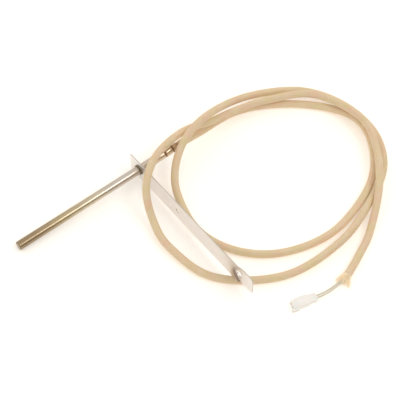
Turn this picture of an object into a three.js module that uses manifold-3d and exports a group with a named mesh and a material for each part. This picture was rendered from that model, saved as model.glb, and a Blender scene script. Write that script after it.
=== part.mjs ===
// Sheathed heat probe on a long mounting strip, with a braided lead and a two-way plug.
// Millimetres, +Z up. The probe is made in its own frame and then laid down on the surface z = 0:
// its origin is on the tube's axis at the strip's front face, +X runs along the tube to its tip,
// and +Y runs along the strip to its far end.
import * as THREE from 'three';
import { mergeVertices } from 'three/addons/utils/BufferGeometryUtils.js';
import Module from 'manifold-3d';

const wasm = await Module();
wasm.setup();

// Every pair of touching pieces keeps this gap.
const GAP = 0.3;

// Sheath tube
const TUBE_R = 3;
const TUBE_WALL = 0.5;
const TIP_X = 95.6;
const MOUTH_X = -31.9;
const TIP_CHAMFER = 0.3;
const CRIMP_XS = [-27.7, -21.4];
const CRIMP_DEPTH = 0.35;
const CRIMP_HALF = 0.8;
const BORE_R = TUBE_R - TUBE_WALL;
const FILL_R = BORE_R - GAP;

// Mounting strip
const STRIP_T = 0.7;
const STRIP_NEAR_Y = -9;
const STRIP_FAR_Y = 116.5;
const STRIP_HALF_H = 8.5;
const NEAR_CORNER_R = 0.8;
const FAR_CORNER_R = 2.2;
const SMALL_HOLE = { y: 42.2, r: 1.75 };
const SCREW_HOLE = { y: 104, r: 2.75, rim: 0.7, rimHeight: 0.3 };

// The strip's far end lies behind a jog that curves round the screw hole. It is set back most
// at its lower edge: twist is the change in depth for each millimetre up.
const JOG = { centreY: 108, r: 10, width: 4, depth: 1.1, twist: 0.03 };
const BEND_FROM_Y = 95;
const BEND_EDGE = 1.5;

// Collars that hold the strip on the tube
const COLLAR_R = 3.65;
const COLLAR_T = 0.6;
const COLLAR_SOFT = 0.15;

// Inside the tube, from the tip back
const TIP_PLUG_T = 2.4;
const TIP_PLUG_RECESS = 0.15;
const CEMENT_T = 2;
const ELEMENT = { length: 5, width: 2, height: 1 };
const INSULATOR = { length: 56, boreR: 0.6, boreY: 0.95 };
const LEAD_R = 0.25;
const LEAD_STRAIGHT = 9;
const BARREL = { length: 6, r: 0.7 };
const SLEEVING = { length: 15, wall: 0.25, overWire: 5 };
const BUSH = { length: 11.5, boreR: 1.5 };

// Lead: a braided sleeve over two wires
const SLEEVE_R = 2.7;
const SLEEVE_WALL = 0.5;
const SLEEVE_STEPS = 80;
const SLEEVE_SIDES = 10;
const WIRE_R = 0.55;
const WIRE_SIDES = 8;
const WIRE_SPREAD = 0.62;
const WIRE_INSIDE_TUBE = 44;
const STEPS_INSIDE_TUBE = 3;
const STEPS_TO_PLUG = 6;

// Frayed end of the braid
const FRAY = { length: 6.5, startR: 2.6, endR: 4, wall: 0.6, squash: 0.64 };

// Plug. Its own origin is on the surface, under the middle of the face that the wires enter,
// and +X runs to its mating face.
const PLUG = {
  neckLength: 5, bodyLength: 12, neckHalf: 2.5, bodyHalf: 3.2, noseLength: 3, noseStep: 0.6,
  height: 4.4, lift: 0.1, cavityPitch: 2.5, cavitySide: 1.9,
  entryPitch: 1.6, entryR: 0.85, entryLength: 4.6,
  ribWidth: 0.9, ribLength: 3.4, ribReach: 1.2, ribOverhang: 1.3, ribGap: 1.3,
};
const TERMINAL = { length: 8, side: 1.3, barrelLength: 3, barrelSide: 0.9 };

// How the probe lies: its tip and the strip's near corner touch the surface, and the strip's
// far end rides on the lead.
const PROBE_PLACE = new THREE.Vector3(-31.79, -53.64, 8.93);
const PROBE_PITCH = THREE.MathUtils.degToRad(3.5);
const PROBE_ROLL = THREE.MathUtils.degToRad(3.1);
const PLUG_PLACE = new THREE.Vector3(-66.7, 87.15, 0);
const PLUG_TURN = THREE.MathUtils.degToRad(-15);

// The lead's middle line: first these places on the tube's axis, then straight out of the mouth.
const LEAD_AXIS_XS = [39.6, -12.4];
const LEAD_STRAIGHT_OUT = 5.2;
// The lead's route from just behind the tube's mouth to the end of the braid, laid by hand.
const LEAD_ROUTE = [
  [-85.8, -55.85, 6.9], [-120, -57.35, 3.2], [-149.9, -44.85, 3], [-174.3, -24.35, 3.1],
  [-184.3, -0.45, 5.6], [-176.7, 23.55, 3.8], [-152.9, 44.95, 2.9], [-110.7, 57.35, 2.9],
  [-73.4, 50.95, 2.9], [-48.4, 32.35, 3], [-37.1, 5.55, 3.1], [-42, -23.85, 5.9],
  [-52, -39.65, 14.1], [-70.5, -50.95, 20.6], [-98, -58.45, 17.9], [-136.5, -61.65, 5.1],
  [-170.2, -45.55, 3.1], [-186.9, -18.85, 2.9], [-188.5, 12.05, 2.9], [-174.4, 37.35, 2.9],
  [-146.3, 53.95, 4.6], [-107.3, 66.55, 4.9], [-61.6, 64.05, 3.1], [-23.7, 38.35, 2.9],
  [-13.4, 4.85, 4.3], [-16.3, -17.65, 7.5], [-23, -34.05, 19.8], [-42.1, -48.75, 21.8],
  [-70.7, -57.35, 16.8], [-95.5, -55.85, 12], [-118.7, -54.95, 8.9], [-140.5, -49.55, 9.2],
  [-172.1, -34.45, 8.8], [-183.3, -0.95, 11.7], [-177.4, 23.15, 10.5], [-155.7, 50.25, 10.8],
  [-129.8, 70.95, 3.6], [-111.5, 80.25, 2.9], [-92.4, 87.75, 2.9],
];
// The two wires' route on from the braid to the plug.
const WIRE_ROUTE = [[-83, 88.85, 2.8], [-74.5, 88.65, 2.5]];

const MATERIALS = {
  steel: { color: 0xb9b4aa, roughness: 0.3, metalness: 1 },
  strip: { color: 0xd9d2c8, roughness: 0.45, metalness: 0.9 },
  ceramic: { color: 0xf0ece0, roughness: 0.7, metalness: 0 },
  copper: { color: 0xc8a070, roughness: 0.35, metalness: 1 },
  braid: { color: 0xe2caa0, roughness: 0.9, metalness: 0 },
  wire: { color: 0xd8cdb4, roughness: 0.6, metalness: 0 },
  plastic: { color: 0xf3f0ea, roughness: 0.45, metalness: 0 },
};

function material(name) {
  return new THREE.MeshStandardMaterial(MATERIALS[name]);
}

// Signed volume of a triangle mesh, negative when its faces point inward.
function signedVolume(positions, index) {
  const corner = (k) => new THREE.Vector3().fromBufferAttribute(positions, index[k]);
  let volume = 0;
  for (let i = 0; i < index.length; i += 3) {
    volume += corner(i).dot(corner(i + 1).cross(corner(i + 2))) / 6;
  }
  return volume;
}

// Shares the vertices of a closed geometry and makes its faces point outward.
function closed(geometry) {
  geometry.deleteAttribute('normal');
  geometry.deleteAttribute('uv');
  const merged = mergeVertices(geometry, 1e-4);
  const index = Array.from(merged.index.array);
  const kept = [];
  for (let i = 0; i < index.length; i += 3) {
    const [a, b, c] = index.slice(i, i + 3);
    if (a !== b && b !== c && c !== a) kept.push(a, b, c);
  }
  if (signedVolume(merged.attributes.position, kept) < 0) kept.reverse();
  merged.setIndex(kept);
  merged.computeVertexNormals();
  return merged;
}

function toSolid(geometry) {
  const shape = closed(geometry);
  return new wasm.Manifold(new wasm.Mesh({
    numProp: 3,
    vertProperties: new Float32Array(shape.attributes.position.array),
    triVerts: new Uint32Array(shape.index.array),
  }));
}

function toGeometry(solid) {
  const mesh = solid.getMesh();
  const geometry = new THREE.BufferGeometry();
  geometry.setAttribute('position', new THREE.BufferAttribute(mesh.vertProperties, 3));
  geometry.setIndex(new THREE.BufferAttribute(mesh.triVerts, 1));
  geometry.computeVertexNormals();
  return geometry;
}

function piece(name, geometry, materialName) {
  const mesh = new THREE.Mesh(closed(geometry), material(materialName));
  mesh.name = name;
  return mesh;
}

// A turned piece: the profile is a list of [x, radius], and the axis is X.
function turned(profile, sides) {
  const points = profile.map(([x, r]) => new THREE.Vector2(r, x));
  return new THREE.LatheGeometry(points, sides).rotateZ(-Math.PI / 2);
}

function rod(x0, x1, r, sides) {
  return turned([[x0, 0], [x0, r], [x1, r], [x1, 0]], sides);
}

function pipe(x0, x1, outerR, innerR, sides) {
  return turned([[x0, innerR], [x0, outerR], [x1, outerR], [x1, innerR], [x0, innerR]], sides);
}

function roundOutline(r, sides) {
  const points = [];
  for (let i = 0; i < sides; i += 1) {
    const angle = (2 * Math.PI * i) / sides;
    points.push(new THREE.Vector2(r * Math.cos(angle), r * Math.sin(angle)));
  }
  return points;
}

function box(x0, x1, y0, y1, z0, z1) {
  return new THREE.BoxGeometry(x1 - x0, y1 - y0, z1 - z0)
    .translate((x0 + x1) / 2, (y0 + y1) / 2, (z0 + z1) / 2);
}

// A plan outline in X and Y, raised from z0 to z1.
function raised(outline, z0, z1) {
  const shape = new THREE.Shape(outline.map(([x, y]) => new THREE.Vector2(x, y)));
  return new THREE.ExtrudeGeometry(shape, { depth: z1 - z0, bevelEnabled: false })
    .translate(0, 0, z0);
}

// ---- Probe: tube and strip ----

function crimpProfile(x) {
  const floorR = TUBE_R - CRIMP_DEPTH;
  return [
    [x - CRIMP_HALF, TUBE_R], [x - CRIMP_HALF / 2, floorR],
    [x + CRIMP_HALF / 2, floorR], [x + CRIMP_HALF, TUBE_R],
  ];
}

function sheathTube() {
  const profile = [
    [MOUTH_X, BORE_R], [MOUTH_X, TUBE_R - TIP_CHAMFER], [MOUTH_X + TIP_CHAMFER, TUBE_R],
    ...CRIMP_XS.flatMap(crimpProfile),
    [TIP_X - TIP_CHAMFER, TUBE_R], [TIP_X, TUBE_R - TIP_CHAMFER], [TIP_X, BORE_R],
    [MOUTH_X, BORE_R],
  ];
  return piece('sheath_tube', turned(profile, 28), 'steel');
}

// The strip's plan outline, looking along the tube, with its four corners rounded.
function stripOutline() {
  const corners = [
    [STRIP_NEAR_Y, -STRIP_HALF_H, NEAR_CORNER_R, Math.PI],
    [STRIP_FAR_Y, -STRIP_HALF_H, FAR_CORNER_R, -Math.PI / 2],
    [STRIP_FAR_Y, STRIP_HALF_H, FAR_CORNER_R, 0],
    [STRIP_NEAR_Y, STRIP_HALF_H, NEAR_CORNER_R, Math.PI / 2],
  ];
  const steps = 4;
  const shape = new THREE.Shape();
  corners.forEach(([y, z, r, startAngle], n) => {
    const centreY = y - Math.sign(y) * r;
    const centreZ = z - Math.sign(z) * r;
    for (let i = 0; i <= steps; i += 1) {
      const angle = startAngle + (i * Math.PI) / 2 / steps;
      const point = [centreY + r * Math.cos(angle), centreZ + r * Math.sin(angle)];
      if (n === 0 && i === 0) shape.moveTo(...point);
      else shape.lineTo(...point);
    }
  });
  return shape;
}

// Turns a shape drawn in (Y, Z) into a solid from x0 to x1.
function acrossTube(shape, x0, x1) {
  return new THREE.ExtrudeGeometry(shape, { depth: x1 - x0, bevelEnabled: false })
    .applyMatrix4(new THREE.Matrix4().makeBasis(
      new THREE.Vector3(0, 1, 0), new THREE.Vector3(0, 0, 1), new THREE.Vector3(1, 0, 0),
    ))
    .translate(x0, 0, 0);
}

// How far the sheet is set back at a place on its face.
function setBack(y, z) {
  const start = JOG.centreY - Math.sqrt(JOG.r ** 2 - z ** 2);
  const depth = JOG.depth - JOG.twist * z;
  return depth * THREE.MathUtils.smoothstep(y, start, start + JOG.width);
}

function mountingStrip() {
  const { y: screwY, r: screwR, rim, rimHeight } = SCREW_HOLE;
  const boss = rod(-STRIP_T / 2, rimHeight, screwR + rim, 20).translate(0, screwY, 0);
  let flat = toSolid(acrossTube(stripOutline(), -STRIP_T, 0)).add(toSolid(boss));
  const holes = [
    [0, TUBE_R + GAP],
    [SMALL_HOLE.y, SMALL_HOLE.r],
    [screwY, screwR],
  ];
  for (const [y, r] of holes) {
    flat = flat.subtract(toSolid(rod(-5, 5, r, 24).translate(0, y, 0)));
  }
  const [farEnd, straight] = flat.splitByPlane([0, 1, 0], BEND_FROM_Y);
  const bent = farEnd.refineToLength(BEND_EDGE).warp((point) => {
    point[0] -= setBack(point[1], point[2]);
  });
  return piece('mounting_strip', toGeometry(straight.add(bent)), 'strip');
}

function collar(name, x0) {
  const inner = TUBE_R + GAP;
  const x1 = x0 + COLLAR_T;
  const profile = [
    [x0, inner], [x0, COLLAR_R - COLLAR_SOFT], [x0 + COLLAR_SOFT, COLLAR_R],
    [x1 - COLLAR_SOFT, COLLAR_R], [x1, COLLAR_R - COLLAR_SOFT], [x1, inner], [x0, inner],
  ];
  return piece(name, turned(profile, 24), 'steel');
}

// ---- Probe: what the tube holds ----

const tipPlugEnd = TIP_X - TIP_PLUG_RECESS;
const cementEnd = tipPlugEnd - TIP_PLUG_T - GAP;
const elementEnd = cementEnd - CEMENT_T - GAP;
const elementStart = elementEnd - ELEMENT.length;
const insulatorEnd = elementStart - 5;
const insulatorStart = insulatorEnd - INSULATOR.length;

function sensingElement() {
  const { width, height } = ELEMENT;
  const shape = box(elementStart, elementEnd, -width / 2, width / 2, -height / 2, height / 2);
  return piece('sensing_element', shape, 'ceramic');
}

function ceramicInsulator() {
  const shape = new THREE.Shape(roundOutline(FILL_R, 16));
  for (const side of [-1, 1]) {
    const bore = roundOutline(INSULATOR.boreR, 8);
    bore.forEach((point) => { point.x += side * INSULATOR.boreY; });
    shape.holes.push(new THREE.Path(bore));
  }
  return piece('ceramic_insulator', acrossTube(shape, insulatorStart, insulatorEnd), 'ceramic');
}

// Sweeps a round section along a curve.
function swept(curve, steps, r, sides, innerR = 0) {
  const shape = new THREE.Shape(roundOutline(r, sides));
  if (innerR > 0) shape.holes.push(new THREE.Path(roundOutline(innerR, sides)));
  return new THREE.ExtrudeGeometry(shape, { steps, bevelEnabled: false, extrudePath: curve });
}

// A lead wire of the element: it starts beside the middle, and runs through its own bore.
function elementLead(name, side, barrelEnd) {
  const nearY = side * 0.6;
  const boreY = side * INSULATOR.boreY;
  const curve = new THREE.CatmullRomCurve3([
    new THREE.Vector3(elementStart - GAP, nearY, 0),
    new THREE.Vector3(elementStart - 1.6, nearY, 0),
    new THREE.Vector3(insulatorEnd + 0.6, boreY, 0),
    new THREE.Vector3(insulatorEnd - 3, boreY, 0),
    new THREE.Vector3(insulatorStart + LEAD_STRAIGHT, boreY, 0),
    new THREE.Vector3(barrelEnd + GAP, boreY, 0),
  ], false, 'centripetal');
  return piece(name, swept(curve, 24, LEAD_R, 8), 'copper');
}

function spliceBarrel(name, side, x0) {
  const shape = rod(x0, x0 + BARREL.length, BARREL.r, 12).translate(0, side * INSULATOR.boreY, 0);
  return piece(name, shape, 'copper');
}

// ---- Lead ----

const probeMatrix = new THREE.Matrix4().compose(
  PROBE_PLACE,
  new THREE.Quaternion().setFromRotationMatrix(new THREE.Matrix4()
    .makeRotationY(PROBE_PITCH).multiply(new THREE.Matrix4().makeRotationX(PROBE_ROLL))),
  new THREE.Vector3(1, 1, 1),
);

function onTubeAxis(x) {
  return new THREE.Vector3(x, 0, 0).applyMatrix4(probeMatrix);
}

function inPlug(x, y, z) {
  return new THREE.Vector3(x, y, z).applyAxisAngle(new THREE.Vector3(0, 0, 1), PLUG_TURN)
    .add(PLUG_PLACE);
}

const plugAxisZ = PLUG.lift + PLUG.height / 2;
const sleeveStartX = MOUTH_X - GAP;
const leadCurve = new THREE.CatmullRomCurve3([
  ...LEAD_AXIS_XS.map(onTubeAxis), onTubeAxis(sleeveStartX),
  onTubeAxis(sleeveStartX - LEAD_STRAIGHT_OUT),
  ...LEAD_ROUTE.map((point) => new THREE.Vector3(...point)),
  ...WIRE_ROUTE.map((point) => new THREE.Vector3(...point)),
  inPlug(0, 0, plugAxisZ), inPlug(PLUG.entryLength, 0, plugAxisZ),
  inPlug(2 * PLUG.entryLength, 0, plugAxisZ),
], false, 'catmullrom', 0.5);
leadCurve.arcLengthDivisions = 4000;

// The distance along the lead's curve at one of its control points.
function distanceAt(pointNumber) {
  const lengths = leadCurve.getLengths();
  return lengths[Math.round((pointNumber / (leadCurve.points.length - 1)) * (lengths.length - 1))];
}

// Equal steps between two distances along the lead.
function stations(from, to, steps) {
  const list = [];
  for (let i = 0; i <= steps; i += 1) list.push(from + ((to - from) * i) / steps);
  return list;
}

const leadLength = leadCurve.getLength();
const sleeveStartPoint = LEAD_AXIS_XS.length;
const sleeveEndPoint = sleeveStartPoint + 1 + LEAD_ROUTE.length;
const sleeveStart = distanceAt(sleeveStartPoint);
const sleeveEnd = distanceAt(sleeveEndPoint);
const wireStart = sleeveStart - WIRE_INSIDE_TUBE;
const plugEntry = distanceAt(sleeveEndPoint + WIRE_ROUTE.length + 1);
const wireEnd = plugEntry + PLUG.entryLength - GAP;
const sleeveStations = stations(sleeveStart, sleeveEnd, SLEEVE_STEPS);
const wireStations = [
  ...stations(wireStart, sleeveStart, STEPS_INSIDE_TUBE).slice(0, -1),
  ...sleeveStations,
  ...stations(sleeveEnd, wireEnd, STEPS_TO_PLUG).slice(1),
];

// A stretch of the lead's curve through given stations, moved sideways by a distance that depends
// on how far along the lead it is. Stretches that share stations keep in step with each other.
class Stretch extends THREE.Curve {
  constructor(places, sideways = () => 0) {
    super();
    this.places = places;
    this.sideways = sideways;
  }

  getUtoTmapping(u) {
    return u;
  }

  getPoint(t, target = new THREE.Vector3()) {
    const place = t * (this.places.length - 1);
    const i = THREE.MathUtils.clamp(Math.floor(place), 0, this.places.length - 2);
    const distance = THREE.MathUtils.lerp(this.places[i], this.places[i + 1], place - i);
    const u = THREE.MathUtils.clamp(distance / leadLength, 0, 1);
    const tangent = leadCurve.getTangentAt(u);
    const side = new THREE.Vector3(0, 0, 1).cross(tangent).normalize();
    return target.copy(leadCurve.getPointAt(u)).addScaledVector(side, this.sideways(distance));
  }
}

// How far a wire lies from the lead's middle: at the barrels' spacing inside the tube, close
// together in the braid, and at the pitch of the plug's entries where they go in.
function wireOffset(distance) {
  const { smoothstep, lerp } = THREE.MathUtils;
  const leaving = smoothstep(distance, wireStart + 6, wireStart + 22);
  const arriving = smoothstep(distance, sleeveEnd + 7, plugEntry - 2);
  const inside = lerp(INSULATOR.boreY, WIRE_SPREAD, leaving);
  return lerp(inside, PLUG.entryPitch / 2, arriving);
}

function braidedSleeve() {
  const curve = new Stretch(sleeveStations);
  const shape = swept(curve, SLEEVE_STEPS, SLEEVE_R, SLEEVE_SIDES, SLEEVE_R - SLEEVE_WALL);
  return piece('braided_sleeve', shape, 'braid');
}

function coreWire(name, side) {
  const curve = new Stretch(wireStations, (distance) => side * wireOffset(distance));
  return piece(name, swept(curve, wireStations.length - 1, WIRE_R, WIRE_SIDES), 'wire');
}

// The braid's loosened end: a flattened, flared skirt round the wires.
function braidFray() {
  const { length, startR, endR, wall, squash } = FRAY;
  const profile = [
    [GAP, startR - wall], [GAP, startR], [length / 2, startR + 0.3], [length, endR],
    [length, endR - wall], [length / 2, startR + 0.3 - wall], [GAP, startR - wall],
  ];
  const at = leadCurve.getPointAt(sleeveEnd / leadLength);
  const tangent = leadCurve.getTangentAt(sleeveEnd / leadLength);
  const shape = turned(profile, 16).scale(1, 1, squash)
    .rotateZ(Math.atan2(tangent.y, tangent.x)).translate(at.x, at.y, at.z);
  return piece('braid_fray', shape, 'braid');
}

// ---- Plug ----

const plugLength = PLUG.neckLength + PLUG.bodyLength;

function plugOutline() {
  const { neckLength, neckHalf, bodyHalf, noseLength, noseStep } = PLUG;
  const noseX = plugLength - noseLength;
  return [
    [0, -neckHalf], [neckLength, -neckHalf], [neckLength + 0.5, -bodyHalf], [noseX, -bodyHalf],
    [noseX, -bodyHalf + noseStep], [plugLength, -bodyHalf + noseStep], [plugLength, bodyHalf],
    [neckLength + 0.5, bodyHalf], [neckLength, neckHalf], [0, neckHalf],
  ];
}

function plugHousing() {
  const {
    lift, height, cavityPitch, cavitySide, entryPitch, entryR, entryLength,
    bodyHalf, ribWidth, ribLength, ribReach, ribOverhang, ribGap,
  } = PLUG;
  let housing = toSolid(raised(plugOutline(), lift, lift + height));
  for (const row of [0, 1]) {
    const z0 = lift + 0.6 + row * (ribWidth + ribGap);
    const rib = box(
      plugLength - ribLength, plugLength + ribOverhang, bodyHalf - 0.5, bodyHalf + ribReach,
      z0, z0 + ribWidth,
    );
    housing = housing.add(toSolid(rib));
  }
  for (const side of [-1, 1]) {
    const y = (side * cavityPitch) / 2;
    const half = cavitySide / 2;
    const cavity = box(
      entryLength, plugLength + 1, y - half, y + half, plugAxisZ - half, plugAxisZ + half,
    );
    const entry = rod(-1, entryLength + 0.5, entryR, 12)
      .translate(0, (side * entryPitch) / 2, plugAxisZ);
    housing = housing.subtract(toSolid(cavity)).subtract(toSolid(entry));
  }
  return piece('plug_housing', toGeometry(housing), 'plastic');
}

function terminal(name, side) {
  const { length, side: width, barrelLength, barrelSide } = TERMINAL;
  const x0 = PLUG.entryLength + 1.2;
  const outline = [
    [x0, -barrelSide / 2], [x0 + barrelLength, -barrelSide / 2], [x0 + barrelLength, -width / 2],
    [x0 + length, -width / 2], [x0 + length, width / 2], [x0 + barrelLength, width / 2],
    [x0 + barrelLength, barrelSide / 2], [x0, barrelSide / 2],
  ];
  const shape = raised(outline, plugAxisZ - width / 2, plugAxisZ + width / 2)
    .translate(0, (side * PLUG.cavityPitch) / 2, 0);
  return piece(name, shape, 'copper');
}

// ---- Assembly ----

const wireStartX = sleeveStartX + WIRE_INSIDE_TUBE;
const barrelStart = wireStartX + GAP;
const sleevingStart = wireStartX - SLEEVING.overWire;

const probe = new THREE.Group();
probe.position.copy(PROBE_PLACE);
probe.quaternion.setFromRotationMatrix(probeMatrix);
probe.add(
  sheathTube(),
  piece('tip_plug', rod(tipPlugEnd - TIP_PLUG_T, tipPlugEnd, FILL_R, 20), 'steel'),
  mountingStrip(),
  collar('front_collar', GAP),
  collar('rear_collar', -STRIP_T - GAP - COLLAR_T),
  piece('tip_cement', rod(cementEnd - CEMENT_T, cementEnd, FILL_R, 16), 'ceramic'),
  sensingElement(),
  ceramicInsulator(),
  piece('inner_sleeving', pipe(
    sleevingStart, sleevingStart + SLEEVING.length, FILL_R, FILL_R - SLEEVING.wall, 20,
  ), 'braid'),
  piece('crimp_bush', pipe(
    MOUTH_X + GAP, MOUTH_X + GAP + BUSH.length, FILL_R, BUSH.boreR, 20,
  ), 'ceramic'),
);

const plug = new THREE.Group();
plug.position.copy(PLUG_PLACE);
plug.rotation.z = PLUG_TURN;
plug.add(plugHousing());

const lead = new THREE.Group();
lead.add(braidedSleeve(), braidFray());

[-1, 1].forEach((side, i) => {
  const number = i + 1;
  probe.add(spliceBarrel(`splice_barrel_${number}`, side, barrelStart));
  probe.add(elementLead(`element_lead_${number}`, side, barrelStart + BARREL.length));
  plug.add(terminal(`terminal_${number}`, side));
  lead.add(coreWire(`core_wire_${number}`, -side));
});

const part = new THREE.Group();
part.add(probe, lead, plug);

export default part;
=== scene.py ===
"""Looks of a sheathed temperature probe: steel tube, drilled strip, braided lead and small plug.

Lengths are in metres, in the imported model's frame: +X along the tube to its tip, +Y along the
strip to its far end, +Z up, and the part lies on z = 0. The probe has a frame of its own, with its
origin on the tube's axis at the strip's front face, and so has the plug, with its origin on the
surface under the face that the wires enter.
"""
import math
import random

import bmesh
import bpy
import numpy as np
from mathutils import Matrix, Vector


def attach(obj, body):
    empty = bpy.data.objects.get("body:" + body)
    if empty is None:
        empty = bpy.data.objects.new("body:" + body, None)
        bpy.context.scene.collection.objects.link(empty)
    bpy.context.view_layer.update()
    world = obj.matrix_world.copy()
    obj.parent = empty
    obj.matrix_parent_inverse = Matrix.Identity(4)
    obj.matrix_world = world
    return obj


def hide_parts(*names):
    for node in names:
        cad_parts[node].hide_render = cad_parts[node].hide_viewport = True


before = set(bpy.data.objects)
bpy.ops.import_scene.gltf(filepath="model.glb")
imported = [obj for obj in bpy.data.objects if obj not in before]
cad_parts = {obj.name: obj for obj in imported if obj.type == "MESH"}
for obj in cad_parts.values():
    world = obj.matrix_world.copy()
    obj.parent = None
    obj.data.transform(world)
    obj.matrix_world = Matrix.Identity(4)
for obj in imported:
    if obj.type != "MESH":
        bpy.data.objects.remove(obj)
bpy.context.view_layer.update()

MM = 0.001

# ---- How the pieces lie ----
PROBE_PLACE = (-0.03179, -0.05364, 0.00893)
PROBE_PITCH = math.radians(3.5)
PROBE_ROLL = math.radians(3.1)
PLUG_PLACE = (-0.0667, 0.08715, 0)
PLUG_TURN = math.radians(-15)

# ---- Tube ----
TUBE_R = 3 * MM
BORE_R = 2.5 * MM
TIP_X = 95.6 * MM
MOUTH_X = -31.9 * MM
CRIMP_XS = (-27.7 * MM, -21.4 * MM)
CRIMP_DEPTH = 0.33 * MM
CRIMP_HALF = 0.8 * MM
MOUTH_EDGE = 0.2 * MM
TIP_EDGE = 0.35 * MM
TIP_DISC_R = 2.44 * MM
TIP_DISC_T = 2.38 * MM
TIP_DISC_SUNK = 0.12 * MM

# ---- Strip ----
STRIP_T = 0.7 * MM
STRIP_NEAR_Y = -9 * MM
STRIP_FAR_Y = 116.5 * MM
STRIP_HALF_H = 8.5 * MM
JOG_CENTRE_Y = 108 * MM
JOG_R = 10 * MM
JOG_WIDTH = 4 * MM
JOG_DEPTH = 1.1 * MM
JOG_TWIST = 0.03
BEND_FROM_Y = 95 * MM
TUBE_HOLE_R = 3.25 * MM
SMALL_HOLE_Y = 42.2 * MM
SMALL_HOLE_R = 1.75 * MM
SCREW_HOLE_Y = 104 * MM
SCREW_HOLE_R = 2.75 * MM
SCREW_RIM_R = 3.45 * MM
SCREW_RIM_HEIGHT = 0.3 * MM
NEAR_CORNER_R = 0.8 * MM
FAR_CORNER_R = 2.2 * MM
STRIP_BEVEL = 0.1 * MM
JOG_CUT_Y = 0.5 * MM
JOG_CUT_Z = 0.8 * MM
JOG_CUT_FROM_Z = -8 * MM
SPECK_R = 0.2 * MM
# Where each speck lies on the strip's face, as Y and Z.
SPECKS = ((58.6 * MM, 6.5 * MM), (65.8 * MM, 4.2 * MM), (70.1 * MM, 4.9 * MM))

# ---- Collars ----
COLLAR_R = 3.65 * MM
COLLAR_T = 0.6 * MM
COLLAR_INNER_R = 3.1 * MM
COLLAR_CLEAR = 0.15 * MM
COLLAR_ROUNDING = 0.35 * MM

# ---- Lead ----
SLEEVE_R = 2.7 * MM
WIRE_R = 0.55 * MM
WIRE_SPREAD = 0.62 * MM
WIRE_SPREAD_AT_SPLICE = 0.95 * MM
WIRE_INSIDE_TUBE = 44 * MM
# The wires close up between these distances from their start, then open out from the first
# distance past the braid's end to the second short of the plug.
WIRE_CLOSING = (6 * MM, 22 * MM)
WIRE_OPENING = (7 * MM, 2 * MM)
LEAD_AXIS_XS = (39.6 * MM, -12.4 * MM)
SLEEVE_START_X = -32.2 * MM
LEAD_STRAIGHT_OUT = 5.2 * MM
# The lead's control points. A least-squares fit placed most of them: they aren't chosen by hand.
LEAD_ROUTE = [
    (-0.0858, -0.05585, 0.0069), (-0.12, -0.05735, 0.0032), (-0.1499, -0.04485, 0.003),
    (-0.1743, -0.02435, 0.0031), (-0.1843, -0.00045, 0.0056), (-0.1767, 0.02355, 0.0038),
    (-0.1529, 0.04495, 0.0029), (-0.1107, 0.05735, 0.0029), (-0.0734, 0.05095, 0.0029),
    (-0.0484, 0.03235, 0.003), (-0.0371, 0.00555, 0.0031), (-0.042, -0.02385, 0.0059),
    (-0.052, -0.03965, 0.0141), (-0.0705, -0.05095, 0.0206), (-0.098, -0.05845, 0.0179),
    (-0.1365, -0.06165, 0.0051), (-0.1702, -0.04555, 0.0031), (-0.1869, -0.01885, 0.0029),
    (-0.1885, 0.01205, 0.0029), (-0.1744, 0.03735, 0.0029), (-0.1463, 0.05395, 0.0046),
    (-0.1073, 0.06655, 0.0049), (-0.0616, 0.06405, 0.0031), (-0.0237, 0.03835, 0.0029),
    (-0.0134, 0.00485, 0.0043), (-0.0163, -0.01765, 0.0075), (-0.023, -0.03405, 0.0198),
    (-0.0421, -0.04875, 0.0218), (-0.0707, -0.05735, 0.0168), (-0.0955, -0.05585, 0.012),
    (-0.1187, -0.05495, 0.0089), (-0.1405, -0.04955, 0.0092), (-0.1721, -0.03445, 0.0088),
    (-0.1833, -0.00095, 0.0117), (-0.1774, 0.02315, 0.0105), (-0.1557, 0.05025, 0.0108),
    (-0.1298, 0.07095, 0.0036), (-0.1115, 0.08025, 0.0029), (-0.0924, 0.08775, 0.0029),
]
WIRE_ROUTE = [(-0.083, 0.08885, 0.0028), (-0.0745, 0.08865, 0.0025)]

# ---- Braid: its yarns each way round, the length in which one goes once round, and its ends ----
BRAID_YARNS = 12
BRAID_PITCH = 17 * MM
BRAID_RELIEF = 0.3 * MM
BRAID_GAP = 0.4 * MM
BRAID_NIPPED_R = 2.3 * MM
BRAID_NIPPED_LENGTH = 4 * MM
BRAID_OPENED_BY = 0.06
BRAID_OPENED_LENGTH = 5 * MM

# ---- Fray ----
THREADS_PER_YARN = 7
THREAD_THICK_R = 0.13 * MM
THREAD_THIN_R = 0.07 * MM
FRAY_RING_R = 2.45 * MM
THREAD_DROOP = 0.10
THREAD_CURL = 0.16
THREAD_LOWEST_Z = 0.25 * MM
FRAY_SPREAD = (0.05, 0.4)
FRAY_LENGTH = (4 * MM, 8.5 * MM)
FRAY_START = 1.2 * MM
FRAY_SEED = 11

# ---- Plug ----
PLUG_NECK = 5 * MM
PLUG_LENGTH = 17 * MM
PLUG_NECK_HALF = 2.5 * MM
PLUG_BODY_HALF = 3.2 * MM
PLUG_NOSE = 3 * MM
PLUG_NOSE_STEP = 0.6 * MM
PLUG_LIFT = 0.1 * MM
PLUG_HEIGHT = 4.4 * MM
PLUG_AXIS_Z = PLUG_LIFT + PLUG_HEIGHT / 2
CAVITY_PITCH = 2.5 * MM
CAVITY_SIDE = 1.9 * MM
ENTRY_PITCH = 1.6 * MM
ENTRY_R = 0.85 * MM
ENTRY_LENGTH = 4.6 * MM
RIB_WIDTH = 0.9 * MM
RIB_LENGTH = 3.4 * MM
RIB_REACH = 1.2 * MM
RIB_OVERHANG = 1.3 * MM
RIB_GAP = 1.3 * MM
RIB_RISE = 0.6 * MM
PLUG_ROUNDING = 0.22 * MM

# ---- Camera ----
CAMERA_TARGET = (-0.0543, -0.01505, 0)
CAMERA_DISTANCE = 0.7497
CAMERA_HEADING = math.radians(225.44)
CAMERA_ELEVATION = math.radians(55.64)
CAMERA_ROLL = math.radians(7.29)
CAMERA_LENS = 101.2

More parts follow.
